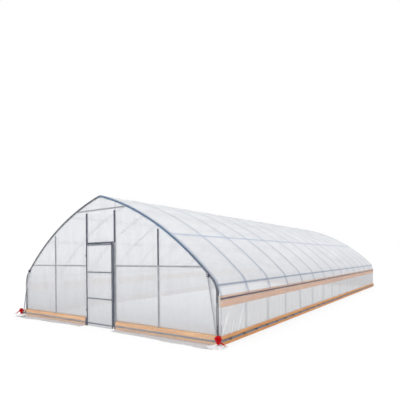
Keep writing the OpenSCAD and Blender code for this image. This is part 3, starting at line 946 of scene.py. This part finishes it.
class TUNNEL_OT_front_end(bpy.types.Operator):
    """Close the front end with film on either side of the door and over it, held by strips on the posts"""
    bl_idname = "tunnel.front_end"
    bl_label = "Front end"

    def execute(self, context):
        y = FRONT_Y - FILM_OUT
        end_panel("front_sheet_right", FILM_INNER_X, RIM_X, PANEL_FOOT, y, -1, "front_film_right")
        end_panel("front_sheet_left", -RIM_X, -FILM_INNER_X, PANEL_FOOT, y, -1, "front_film_left")
        inner = FILM_INNER_X - 0.001
        end_panel("front_sheet_top", -inner, inner, HEADER_FOOT, y, -1, "front_film_top")
        self.corner_flaps(y)
        self.strips()
        self.fittings()
        return {"FINISHED"}

    def corner_flaps(self, y):
        """Film round the corner between the front hoop's leg and the side curtain."""
        low, high = PANEL_FOOT, HIP_LOW - 0.001
        inner, outer = HALF_SPAN + HOOP_R, CURTAIN_X - 0.0006
        front_run = outer - inner
        back_run = 0.05
        for way, name in ((1, "corner_flap_right"), (-1, "corner_flap_left")):
            def place(u, v):
                z = low + (high - low) * v
                s = u * (front_run + back_run)
                ripple = 0.0012 * math.sin(26 * z)
                if s <= front_run:
                    return Vector((way * (inner + s), y - FILM_LIFT + ripple, z))
                return Vector((way * outer, y - FILM_LIFT + s - front_run, z))
            film_sheet(name, 12, 20, place, end_film())

    def strips(self):
        """Grip strips with wire over the film, on the posts, the header and the rails."""
        y = FRONT_Y - STRIP_OUT
        edge = 0.0275
        inner = DOOR_POST_X - edge
        change = RAIL_Z + 0.015
        dark, grey, pale = bmesh.new(), bmesh.new(), bmesh.new()
        runs = []
        for x, foot, top, bm, width in (
                (-DOOR_POST_X, 0.0, DOOR_POST_TOP, dark, 0.054),
                (DOOR_POST_X, HEADER_FOOT, DOOR_POST_TOP, dark, 0.05),
                (DOOR_POST_X, 0.0, HEADER_FOOT - 0.001, grey, 0.042),
                (-OUTER_POST_X, BASE_H, OUTER_POST_TOP, pale, 0.038),
                (OUTER_POST_X, change, OUTER_POST_TOP, dark, 0.034),
                (OUTER_POST_X, BASE_H, change - 0.001, pale, 0.038)):
            wired_channel(bm, runs, (x, y, foot), (x, y, top), SIDE, OUT_FRONT, width, STRIP_T, STRIP_WIRE)
        wired_channel(dark, runs, (-inner, y, HEADER_FOOT), (inner, y, HEADER_FOOT), UP, OUT_FRONT, 0.032,
                      STRIP_T, STRIP_WIRE)
        rail_strips(pale, y, OUT_FRONT, edge)
        add_box(grey, (DOOR_STOP_X, y - 0.004, DOOR_LIFT), (inner, y, HEADER_FOOT - 0.0165), 0.001)
        self.foot_plate(dark, y - STRIP_T)
        for bm, name, metal in ((dark, "door_frame_strips", dark_tube()), (grey, "door_stop", pale_strip()),
                                (pale, "end_wall_strips", pale_strip())):
            close_and_turn_out(bm)
            add_piece(name, bm, metal)
        wire_piece("end_wall_wires", runs, THIN_WIRE)

    def foot_plate(self, bm, y):
        """The plate at the foot of the hinge post, as high as the boards beside it."""
        add_box(bm, (-0.498, FRONT_Y - BASE_CHANNEL_OUT, 0.002), (-0.447, y - 0.0002, BASE_H), 0.0015)

    def fittings(self):
        """Clamps where the rails cross the posts, and the plate at the top of the arch."""
        bm = bmesh.new()
        half = 0.03
        z = RAIL_Z
        for y, way in ((FRONT_Y + RAIL_IN, 1), (BACK_Y - RAIL_IN, -1)):
            strap = y + way * 0.0138
            for x in (DOOR_POST_X, OUTER_POST_X):
                for at in (x - half, x + half):
                    add_rod(bm, (at, y - way * 0.03, z), (at, y + way * 0.022, z), 0.004)
                    add_rod(bm, (at, y + way * 0.016, z), (at, y + way * 0.023, z), 0.008, sides=6)
                add_box(bm, (x - 0.042, strap - 0.0015, z - 0.014), (x + 0.042, strap + 0.0015, z + 0.014),
                        0.001)
        mirror_over(bm)
        back = FRONT_Y - STRIP_OUT
        face = back - 0.003
        add_box(bm, (-0.05, face, RIDGE_Z - 0.034), (0.05, back, RIDGE_Z + 0.008), 0.001)
        for x in (-half, half):
            add_bolt(bm, (x, face, RIDGE_Z - 0.012), OUT_FRONT, 0.008, 0.006)
        add_piece("end_wall_clamps", bm, galvanised())


class TUNNEL_OT_back_end(bpy.types.Operator):
    """Close the back end with one sheet of film, held by strips"""
    bl_idname = "tunnel.back_end"
    bl_label = "Back end"

    def execute(self, context):
        end_panel("back_sheet", -RIM_X, RIM_X, PANEL_FOOT, BACK_Y + FILM_OUT, 1, "back_film")
        self.strips()
        return {"FINISHED"}

    def strips(self):
        """Grip strips over the film, on the posts, the rail and the tie."""
        bm = bmesh.new()
        y = BACK_Y + STRIP_OUT
        out = -OUT_FRONT
        gap = 0.0185
        inner = DOOR_POST_X - gap
        for post, top in ((DOOR_POST_X, DOOR_POST_TOP), (OUTER_POST_X, OUTER_POST_TOP)):
            for x in (-post, post):
                add_channel(bm, (x, y, BASE_H), (x, y, top), SIDE, out, 0.036, STRIP_T)
        rail_strips(bm, y, out, gap)
        add_channel(bm, (-inner, y, RAIL_Z), (inner, y, RAIL_Z), UP, out, RAIL_STRIP_W, THIN_STRIP_T)
        close_and_turn_out(bm)
        add_piece("back_wall_strips", bm, pale_strip())


class TUNNEL_OT_side_curtains(bpy.types.Operator):
    """Hang the roll-up curtains from the hip boards down to their pipes"""
    bl_idname = "tunnel.side_curtains"
    bl_label = "Side curtains"

    def execute(self, context):
        low = PIPE_Z - PIPE_R
        top = HIP_LINE_Z + CHANNEL_W / 2
        for way, name, board in ((1, "right", "right_hip_board"), (-1, "left", "left_hip_board")):
            sheet = film_sheet("side_drop_" + name, 560, 16, self.hang(way, low, top), curtain_film())
            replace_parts(sheet, "side_curtain_" + name)
        self.clips()
        return {"FINISHED"}

    def hang(self, way, low, top):
        """Where a curtain lies, with upright folds, and creases that fan out from its foot at the front."""
        deep = look().folds

        def place(u, v):
            y = FIRST_Y + (LAST_Y - FIRST_Y) * u
            z = low + (top - low) * v
            free = math.sin(math.pi * min(max((v - 0.04) / 0.86, 0), 1)) ** 0.7
            drift = 3.4 * math.sin(1.3 * y + way) + 2.1 * math.sin(3.1 * y) + 0.9 * math.sin(7.7 * y)
            fold = (0.5 + 0.5 * math.sin(11 * y + drift + 0.6 * z)) ** 3
            slow = 0.5 + 0.5 * math.sin(4.3 * y + 2.0 * math.sin(0.9 * y))
            near = y - FIRST_Y
            fan = math.atan2(z - low + 0.05, near + 0.04)
            pull = math.exp(-near / 0.8)
            crease = (0.5 + 0.5 * math.sin(19 * fan)) ** 4
            depth = free * deep * ((0.45 * fold + 0.35 * slow) * (1 - pull) + 2.4 * pull * crease)
            return Vector((way * (CURTAIN_X + 0.0012 + depth), y, z))
        return place

    def clips(self):
        """Snap clips that hold the curtain's foot on the pipe."""
        bm = bmesh.new()
        half = 0.03
        for i in range(BAYS):
            for share in (0.25, 0.75):
                y = FRONT_Y + (i + share) * BAY
                add_rod(bm, (PIPE_X, y - half, PIPE_Z), (PIPE_X, y + half, PIPE_Z), PIPE_R + 0.0022,
                        sides=14)
        cut_open(bm, (PIPE_X - 0.004, 0, 0), -SIDE)
        mirror_over(bm)
        add_piece("pipe_clips", bm, black_plastic())


class TUNNEL_OT_skirts(bpy.types.Operator):
    """Lay the film over the end boards and out on the ground, with gathered film at the front corners"""
    bl_idname = "tunnel.skirts"
    bl_label = "Skirts"

    def execute(self, context):
        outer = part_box("front_baseboards")[1].x
        front = FRONT_Y - SKIRT_OUT
        back = BACK_Y + SKIRT_OUT
        right = self.skirt("front_skirt_right", BOARD_INNER_X, outer, front, -1, 130)
        left = self.skirt("front_skirt_left", -outer, -BOARD_INNER_X, front, -1, 130)
        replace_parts(right, "front_skirts")
        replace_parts(left, "front_skirts")
        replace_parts(self.skirt("back_skirting", -outer, outer, back, 1, 300), "back_skirt")
        self.gathers()
        return {"FINISHED"}

    def skirt(self, name, x0, x1, y, out, steps):
        """Film down the face of the boards and out along the ground, shallower near the door."""
        drop = BASE_H - 0.012
        flare = 0.26
        whole = drop + flare
        deep = 0.008

        def place(u, v):
            x = x0 + (x1 - x0) * u
            reach = flare * (0.6 + 0.4 * smooth((abs(x) - BOARD_INNER_X) / 2.4))
            if out > 0:
                reach = flare
            s = v * whole
            ripple = 0.5 + 0.5 * math.sin(31 * x + 2.0 * math.sin(5 * x))
            slow = 0.5 + 0.5 * math.sin(7.3 * x + 1.5 * math.sin(2.1 * x))
            if s <= drop:
                low = smooth((s - BASE_H + BASE_LINE_Z - 0.02) / 0.05)
                return Vector((x, y + out * (FILM_LIFT + low * deep * ripple), BASE_H - 0.001 - s))
            d = (s - drop) / flare
            lift = 0.0075 * (1 - d) ** 8 + 0.006 * ripple * d * smooth((abs(x) - 1.5) / 0.3) + 0.0015
            far = reach * d * (0.86 + 0.14 * slow)
            return Vector((x, y + out * (FILM_LIFT + deep * ripple + far), lift + FILM_T))

        return film_sheet(name, steps, 34, place, skirt_film())

    def gathers(self):
        """Pleated film bunched round the foot of each guide pole."""
        pole = POLE_TOP - POLE_FOOT
        tall = 0.056
        wide = 0.19
        neck = 0.02
        start, sweep = math.radians(140), math.radians(250)

        for way, name in ((1, "corner_gather_right"), (-1, "corner_gather_left")):
            def place(u, v):
                turn = start + sweep * u
                z = tall * (1 - v) ** 1.6 + 0.0035
                middle = POLE_FOOT + pole * (z / pole.z)
                pleat = math.sin(sweep * u * 6 + 1.4 * math.sin(9 * u))
                round_edge = 0.8 + 0.2 * math.sin(math.pi * u)
                radius = neck + (wide * round_edge - neck) * v ** 1.1
                radius *= 1 + 0.12 * pleat * v
                z += 0.02 * (1 + pleat) * v * (1 - 0.45 * v)
                x = middle.x + radius * math.cos(turn)
                y = middle.y + radius * math.sin(turn)
                return Vector((way * x, y, z))
            film_sheet(name, 120, 18, place, gather_film())


class TUNNEL_OT_grip_channels(bpy.types.Operator):
    """Fit the grip channels with their lips and zig-zag wires"""
    bl_idname = "tunnel.grip_channels"
    bl_label = "Grip channels"

    def execute(self, context):
        self.arch("front_arch_channel", FRONT_Y - CHANNEL_OUT, -1)
        self.arch("back_arch_channel", BACK_Y + CHANNEL_OUT, 1)
        self.hips()
        self.bases()
        return {"FINISHED"}

    def arch(self, node, y, way):
        """The bent channel round an end hoop, with its wires."""
        bm = bmesh.new()
        out = Vector((0, way, 0))
        add_channel(bm, (HALF_SPAN, y, PANEL_FOOT), (HALF_SPAN, y, LEG_H - 0.001), SIDE, out, ARCH_W)
        add_bent_channel(bm, (BEND_X, LEG_H), BEND_R, 0, BEND_TURN - 0.002, y, out, 12, ARCH_W)
        top = math.acos((0.035 - CURVE_X) / ROOF_R)
        add_bent_channel(bm, (CURVE_X, CURVE_Z), ROOF_R, BEND_TURN, top, y, out, 24, ARCH_W)
        close_and_turn_out(bm)
        mirror_over(bm)
        piece = add_piece(node + "_bar", bm, channel_metal())
        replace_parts(piece, node)
        runs = [arch_wire(y, out * CHANNEL_WIRE, side) for side in (1, -1)]
        wire_piece(node + "_wire", runs)

    def hips(self):
        """The channels along the hip boards."""
        bm = bmesh.new()
        runs = []
        for way in (-1, 1):
            x = way * HIP_CHANNEL_X
            wired_channel(bm, runs, (x, FIRST_Y, HIP_LINE_Z), (x, LAST_Y, HIP_LINE_Z), UP, SIDE * way,
                          HIP_W, swing=0.006)
        close_and_turn_out(bm)
        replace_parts(add_piece("hip_channel_bars", bm, dark_tube()), "hip_channels")
        wire_piece("hip_channel_wires", runs)

    def bases(self):
        """The channels along the end boards."""
        bm = bmesh.new()
        runs = []
        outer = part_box("base_channels")[1].x
        front = FRONT_Y - BASE_CHANNEL_OUT
        back = BACK_Y + BASE_CHANNEL_OUT
        z = BASE_LINE_Z
        for a, b, y, out in ((-BOARD_INNER_X, -outer, front, OUT_FRONT),
                             (BOARD_INNER_X, outer, front, OUT_FRONT), (-outer, outer, back, -OUT_FRONT)):
            wired_channel(bm, runs, (a, y, z), (b, y, z), UP, out, CHANNEL_W)
        close_and_turn_out(bm)
        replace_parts(add_piece("base_channel_bars", bm, pale_strip()), "base_channels")
        wire_piece("base_channel_wires", runs)


class TUNNEL_OT_purlin_clamps(bpy.types.Operator):
    """Clamp every purlin to every hoop, and bolt the saddles at the ridge"""
    bl_idname = "tunnel.purlin_clamps"
    bl_label = "Purlin clamps"

    def execute(self, context):
        bm = bmesh.new()
        inset = -HOOP_R - 0.0003 - PURLIN_R
        half_band = Vector((0.0015, 0.012, 0.024))
        places = [roof_point(turn, inset) + (turn,) for turn in PURLIN_TURNS]
        places.append(bend_point(LOW_TURN, inset) + (LOW_TURN,))
        for y in HOOP_YS:
            for x, z, turn in places:
                inward = Vector((-math.cos(turn), 0, -math.sin(turn)))
                tangent = Vector((-math.sin(turn), 0, math.cos(turn)))
                band = Vector((x, y, z)) + inward * (PURLIN_R + 0.0015)
                add_box(bm, band - half_band, band + half_band, 0, Matrix.Rotation(-turn, 4, "Y"))
                for end in (-0.019, 0.019):
                    foot = band + tangent * end
                    add_rod(bm, foot + inward * 0.008, foot - inward * 0.034, 0.0035, sides=6)
                    add_rod(bm, foot + inward * 0.0015, foot + inward * 0.0075, 0.0065, sides=6)
        mirror_over(bm)
        add_piece("purlin_clamps", bm, galvanised())
        self.ridge_bolts()
        return {"FINISHED"}

    def ridge_bolts(self):
        """Bolts through the saddles that carry the ridge purlin."""
        bm = bmesh.new()
        for y in HOOP_YS:
            for dy in (-1, 1):
                face = y + dy * HOOP_R
                for dx in (-0.018, 0.018):
                    add_bolt(bm, (dx, face, RIDGE_Z - 0.014), (0, dy, 0), 0.006, 0.006)
        add_piece("ridge_bolts", bm, wire_metal())


class TUNNEL_OT_winders(bpy.types.Operator):
    """Build the housings and cranks of the curtain winders, and the straps on their guide poles"""
    bl_idname = "tunnel.winders"
    bl_label = "Winders"

    def execute(self, context):
        self.housings()
        self.cranks()
        self.pole_straps()
        return {"FINISHED"}

    def housings(self):
        """Ribbed drums with a raised cover, a socket on the pipe and a slide on the guide pole."""
        bm = bmesh.new()
        back = WINDER_BACK
        front = back - WINDER_T
        drum = front + 0.008
        add_rod(bm, (PIPE_X, back - 0.003, WINDER_Z), (PIPE_X, drum, WINDER_Z), WINDER_R, sides=14)
        cover = [f for f in bm.faces if all(abs(v.co.y - drum) < 1e-5 for v in f.verts)]
        bmesh.ops.inset_region(bm, faces=cover, thickness=0.006, depth=0)
        raised = bmesh.ops.extrude_face_region(bm, geom=cover)
        lifted = [g for g in raised["geom"] if isinstance(g, bmesh.types.BMVert)]
        bmesh.ops.translate(bm, verts=lifted, vec=(0, -0.006, 0))
        edges = [e for e in bm.edges if e.calc_length() > 0.01 and not e.is_boundary]
        bmesh.ops.bevel(bm, geom=edges, offset=0.0015, segments=2, profile=0.5, affect="EDGES", material=-1)
        ribs = 8
        half_rib = Vector((0.0035, 0.02, 0.006))
        for i in range(ribs):
            turn = math.tau * (i + 0.5) / ribs
            spoke = Vector((math.cos(turn), 0, math.sin(turn)))
            middle = Vector((PIPE_X, back - 0.028, WINDER_Z)) + spoke * (WINDER_R - 0.0015)
            add_box(bm, middle - half_rib, middle + half_rib, 0.001, Matrix.Rotation(-turn, 4, "Y"))
            head = Vector((PIPE_X, front + 0.002, WINDER_Z)) + spoke * 0.038
            add_rod(bm, head, head - Vector((0, 0.002, 0)), 0.004, 0.003, 6)
        socket_r, socket_len = 0.028, 0.046
        add_rod(bm, (PIPE_X, back, PIPE_Z), (PIPE_X, back - socket_len, PIPE_Z), socket_r, sides=14)
        pole_x = POLE_TOP.lerp(POLE_FOOT, (POLE_TOP.z - WINDER_Z) / POLE_TOP.z).x
        slide, half = back - 0.03, 0.022
        add_box(bm, (pole_x - half, slide, WINDER_Z - half), (PIPE_X, back, WINDER_Z + half), 0.003)
        close_and_turn_out(bm)
        mirror_over(bm)
        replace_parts(add_piece("winder_housing_shells", bm, red_plastic()), "winder_housings")
        bm = bmesh.new()
        for dz in (-0.015, 0.015):
            add_bolt(bm, (pole_x - 0.012, slide, WINDER_Z + dz), OUT_FRONT, 0.005, 0.005)
        mirror_over(bm)
        add_piece("winder_bolts", bm, wire_metal())

    def cranks(self):
        """Tapered arms on a hub, with a ringed grip at the end."""
        hub = Vector((PIPE_X, WINDER_BACK - WINDER_T, WINDER_Z))
        at = Matrix.Translation(hub) @ Matrix.Rotation(CRANK_TURN, 4, "Y")
        arm_y = -HUB_T + 0.004
        arm_t, arm_half = 0.01, 0.013
        bm = bmesh.new()
        add_rod(bm, (0, -0.0003, 0), (0, -HUB_T, 0), 0.017, 0.0155, 16)
        add_box(bm, (0, arm_y, -arm_half), (CRANK_LEN, arm_y + arm_t, arm_half), 0.003)
        tip = [v for v in bm.verts if v.co.x > CRANK_LEN * 0.5]
        bmesh.ops.scale(bm, vec=(1, 1, 0.86), verts=tip)
        add_box(bm, (0.02, arm_y - 0.0015, -0.006), (CRANK_LEN - 0.034, arm_y, 0.006), 0.0006)
        bmesh.ops.transform(bm, matrix=at, verts=bm.verts)
        close_and_turn_out(bm)
        mirror_over(bm)
        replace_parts(add_piece("winder_crank_arms", bm, red_plastic()), "winder_cranks")
        bm = bmesh.new()
        reach = CRANK_LEN - 0.018
        tail = -HUB_T - GRIP_LEN + 0.0003
        add_rod(bm, (reach, arm_y, 0), (reach, arm_y - 0.012, 0), 0.006, sides=10)
        stations = spread(arm_y - 0.008, tail, 9)
        wide, narrow = 0.0096, 0.0084
        for a, b in zip(stations, stations[1:]):
            add_rod(bm, (reach, a, 0), (reach, b, 0), wide, narrow, 14)
            wide, narrow = narrow, wide
        bmesh.ops.transform(bm, matrix=at, verts=bm.verts)
        mirror_over(bm)
        add_piece("winder_grips", bm, white_plastic())

    def pole_straps(self):
        """Straps that hold the tops of the guide poles in their brackets."""
        bm = bmesh.new()
        for dz in (-0.016, -0.046):
            at = POLE_TOP + (POLE_FOOT - POLE_TOP) * (-dz / POLE_TOP.z)
            add_rod(bm, at - UP * 0.005, at + UP * 0.005, POLE_R + 0.003, sides=14)
            for dx in (-0.019, 0.019):
                add_bolt(bm, POLE_TOP + Vector((dx, POLE_R, dz)), OUT_FRONT, 0.004, 0.005)
        mirror_over(bm)
        add_piece("pole_straps", bm, black_plastic())


class TUNNEL_OT_door(bpy.types.Operator):
    """Cover the door leaf with film, held by strips with wire and by clips on the tubes"""
    bl_idname = "tunnel.door"
    bl_label = "Door"

    def execute(self, context):
        edge = STILE_X + DOOR_TUBE_R
        tall = DOOR_TOP - DOOR_LIFT

        def place(u, v):
            x = -edge + 2 * edge * u
            z = DOOR_LIFT + tall * v
            rail_gap = min(abs(z - r) for r in DOOR_RAIL_ZS)
            free = smooth((edge - 0.03 - abs(x)) / 0.15) * smooth((rail_gap - 0.02) / 0.12)
            lines = math.sin(14 * x + 6 * z) ** 6 + math.sin(9 * x - 7 * z + 1.0) ** 8
            loose = smooth((0.05 - z) / 0.04)
            fold = loose * (0.5 + 0.5 * math.sin(20 * x))
            return Vector((x, DOOR_FILM_Y - 0.001 - 0.0035 * free * lines - 0.003 * fold, z))

        sheet = film_sheet("door_sheet", 48, 90, place, end_film(),
                           body="door")
        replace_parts(sheet, "door_film")
        self.strips()
        self.clips()
        return {"FINISHED"}

    def strips(self):
        """Grip strips with wire over the film, on the stiles and the rails."""
        y = DOOR_FILM_Y - 0.0052
        foot = DOOR_LIFT + 0.01
        inner = STILE_X - 0.0155
        stiles, rails = bmesh.new(), bmesh.new()
        runs = []
        for x in (-STILE_X, STILE_X):
            wired_channel(stiles, runs, (x, y, foot), (x, y, DOOR_TOP), SIDE, OUT_FRONT, 0.024, STRIP_T,
                          STRIP_WIRE, 0.008)
        for z in DOOR_RAIL_ZS:
            add_channel(rails, (-inner, y, z), (inner, y, z), UP, OUT_FRONT, 0.022, THIN_STRIP_T)
        for bm, name, metal in ((stiles, "door_stile_strips", dark_tube()),
                                (rails, "door_rail_strips", grey_strip())):
            close_and_turn_out(bm)
            add_piece(name, bm, metal, "door")
        wire_piece("door_wires", runs, THIN_WIRE, "door")

    def clips(self):
        """Snap clips that hold the film on the stiles and the rails."""
        bm = bmesh.new()
        y = DOOR_Y
        half = 0.025
        on_stiles = [(x, z, UP) for z in (0.2, 0.42, 0.86, 1.02, 1.38, 1.66) for x in (-STILE_X, STILE_X)]
        on_rails = [(x, z, SIDE) for z in DOOR_RAIL_ZS for x in (-0.22, 0.22)]
        for x, z, way in on_stiles + on_rails:
            middle = Vector((x, y, z))
            add_rod(bm, middle - way * half, middle + way * half, DOOR_TUBE_R + 0.0036, sides=14)
        cut_open(bm, (0, y - 0.004, 0), -OUT_FRONT)
        add_piece("door_clips", bm, galvanised(), "door")


class TUNNEL_OT_stage(bpy.types.Operator):
    """Lay the floor and set the light and the camera"""
    bl_idname = "tunnel.stage"
    bl_label = "Stage"

    def execute(self, context):
        self.floor(context.scene.tunnel_stage)
        self.light(context.scene)
        self.camera(context.scene)
        context.scene.view_settings.view_transform = "Standard"
        return {"FINISHED"}

    def seen(self, tree):
        """1 for what the camera, a mirror or clear film sees, 0 for light."""
        path = tree.nodes.new("ShaderNodeLightPath")
        share = math_node(tree, "MAXIMUM", path.outputs["Is Camera Ray"], path.outputs["Is Glossy Ray"])
        return math_node(tree, "MAXIMUM", share, path.outputs["Is Transmission Ray"])

    def floor(self, stage):
        bm = bmesh.new()
        bmesh.ops.create_grid(bm, x_segments=8, y_segments=8, size=120)
        bmesh.ops.translate(bm, verts=bm.verts, vec=(0, 0, -0.0005))
        mesh = bpy.data.meshes.new("floor")
        bm.to_mesh(mesh)
        bm.free()
        floor = bpy.data.objects.new("floor", mesh)
        bpy.context.scene.collection.objects.link(floor)
        material, tree, shader, _ = start_material("pale_floor")
        shader.inputs["Base Color"].default_value = (*stage.floor, 1)
        shader.inputs["Roughness"].default_value = 0.9
        shader.inputs["Specular IOR Level"].default_value = 0.0
        glow = tree.nodes.new("ShaderNodeEmission")
        glow.inputs["Color"].default_value = (1, 1, 1, 1)
        blend = tree.nodes.new("ShaderNodeMixShader")
        tree.links.new(math_node(tree, "MULTIPLY", self.seen(tree), FLOOR_GLOW), blend.inputs["Fac"])
        tree.links.new(shader.outputs["BSDF"], blend.inputs[1])
        tree.links.new(glow.outputs["Emission"], blend.inputs[2])
        tree.links.new(blend.outputs["Shader"], tree.nodes["Material Output"].inputs["Surface"])
        mesh.materials.append(material)

    def light(self, scene):
        world = bpy.data.worlds.new("studio")
        scene.world = world
        world.use_nodes = True
        tree = world.node_tree
        back = tree.nodes["Background"]
        back.inputs["Color"].default_value = (1, 1, 1, 1)
        sky = scene.tunnel_stage.sky
        strength = math_node(tree, "ADD", math_node(tree, "MULTIPLY", self.seen(tree), 1 - sky), sky)
        tree.links.new(strength, back.inputs["Strength"])
        key = bpy.data.lights.new("key", "SUN")
        key.energy = scene.tunnel_stage.sun
        key.angle = math.radians(30)
        lamp = bpy.data.objects.new("key", key)
        lamp.rotation_euler = KEY_TURN
        scene.collection.objects.link(lamp)

    def camera(self, scene):
        yaw, roll = CAMERA_YAW, CAMERA_ROLL
        ahead = Vector((-math.sin(yaw), math.cos(yaw), 0))
        level = Vector((math.cos(yaw), math.sin(yaw), 0))
        right = level * math.cos(roll) + UP * math.sin(roll)
        up = UP * math.cos(roll) - level * math.sin(roll)
        data = bpy.data.cameras.new("camera")
        data.lens = scene.tunnel_stage.lens
        data.sensor_width = 36
        data.shift_y = CAMERA_SHIFT
        data.clip_end = 400
        camera = bpy.data.objects.new("camera", data)
        turn = Matrix((right, up, -ahead)).transposed().to_4x4()
        camera.matrix_world = Matrix.Translation(CAMERA_AT) @ turn
        scene.collection.objects.link(camera)
        scene.camera = camera


STEPS = (
    TUNNEL_OT_stage, TUNNEL_OT_frame_finish, TUNNEL_OT_boards, TUNNEL_OT_roof_film, TUNNEL_OT_front_end,
    TUNNEL_OT_back_end, TUNNEL_OT_side_curtains, TUNNEL_OT_skirts, TUNNEL_OT_grip_channels,
    TUNNEL_OT_purlin_clamps, TUNNEL_OT_winders, TUNNEL_OT_door,
)


class TUNNEL_PT_panel(bpy.types.Panel):
    """Steps that dress the tunnel"""
    bl_idname = "TUNNEL_PT_panel"
    bl_label = "Polytunnel greenhouse"
    bl_space_type = "VIEW_3D"
    bl_region_type = "UI"
    bl_category = "Tunnel"

    def draw(self, context):
        for step in STEPS:
            self.layout.operator(step.bl_idname)
        for group in (context.scene.tunnel_look, context.scene.tunnel_stage):
            for name in group.bl_rna.properties.keys():
                if name not in ("rna_type", "name"):
                    self.layout.prop(group, name)


CLASSES = (TunnelLook, TunnelStage, *STEPS, TUNNEL_PT_panel)


def register():
    for kind in CLASSES:
        bpy.utils.register_class(kind)
    bpy.types.Scene.tunnel_look = bpy.props.PointerProperty(type=TunnelLook)
    bpy.types.Scene.tunnel_stage = bpy.props.PointerProperty(type=TunnelStage)


def unregister():
    del bpy.types.Scene.tunnel_stage
    del bpy.types.Scene.tunnel_look
    for kind in reversed(CLASSES):
        bpy.utils.unregister_class(kind)


def main():
    register()
    bpy.ops.tunnel.stage()
    bpy.ops.tunnel.frame_finish()
    bpy.ops.tunnel.boards()
    bpy.ops.tunnel.roof_film()
    bpy.ops.tunnel.front_end()
    bpy.ops.tunnel.back_end()
    bpy.ops.tunnel.side_curtains()
    bpy.ops.tunnel.skirts()
    bpy.ops.tunnel.grip_channels()
    bpy.ops.tunnel.purlin_clamps()
    bpy.ops.tunnel.winders()
    bpy.ops.tunnel.door()


if __name__ == "__main__":
    main()
